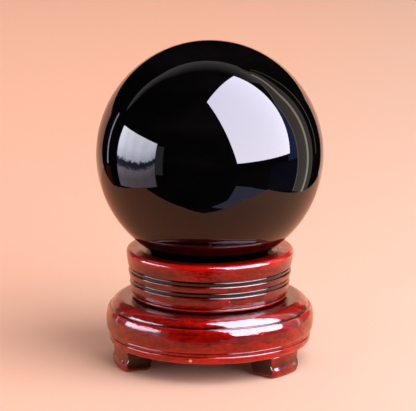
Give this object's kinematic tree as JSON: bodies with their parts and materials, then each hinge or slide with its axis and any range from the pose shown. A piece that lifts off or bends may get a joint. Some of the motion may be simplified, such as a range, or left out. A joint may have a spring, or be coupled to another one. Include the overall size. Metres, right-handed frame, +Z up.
{
  "type": "crystal ball",
  "caption": "Polished black glass ball resting in a lacquered, beaded wooden collar that turns on a moulded round base with bracket feet.",
  "frame": {"origin": "on the ground, under the middle of the ball, on the axis that the collar turns about", "axes": "+Z up along the turning axis; -Y is the front, between the two front feet; +X is to the right seen from the front"},
  "size_m": [0.1, 0.1, 0.1434],
  "materials": {
    "obsidian": "polished",
    "lacquered_wood": "gloss",
    "dowel_wood": "matte",
    "pressed_steel": "satin",
    "ball_steel": "polished",
    "cage_brass": "satin",
    "zinc_steel": "satin"
  },
  "bodies": {
    "base": {"base_body": "lacquered_wood", "foot_rear": "lacquered_wood", "foot_front_left": "lacquered_wood", "foot_front_right": "lacquered_wood", "foot_dowels": "dowel_wood", "lower_race_plate": "pressed_steel", "race_rivet": "zinc_steel", "lower_race_screws": "zinc_steel"},
    "turntable": {"collar": "lacquered_wood", "upper_race_plate": "pressed_steel", "upper_race_screws": "zinc_steel"},
    "bearing_balls": {"race_balls": "ball_steel", "ball_cage": "cage_brass"},
    "ball": {"ball": "obsidian"}
  },
  "joints": [
    {"name": "turntable_turn", "type": "hinge", "parent": "base", "child": "turntable", "pos_m": [0, 0, 0.0299], "axis": [0, 0, 1], "continuous": true},
    {"name": "bearing_balls_turn", "type": "hinge", "parent": "base", "child": "bearing_balls", "pos_m": [0, 0, 0.0299], "axis": [0, 0, 1], "continuous": true},
    {"name": "ball_lift", "type": "slide", "parent": "turntable", "child": "ball", "axis": [0, 0, 1], "range_m": [0, 0.08]}
  ],
  "couplings": [
    {"joint": "bearing_balls_turn", "follows": "turntable_turn", "ratio": 0.5}
  ]
}
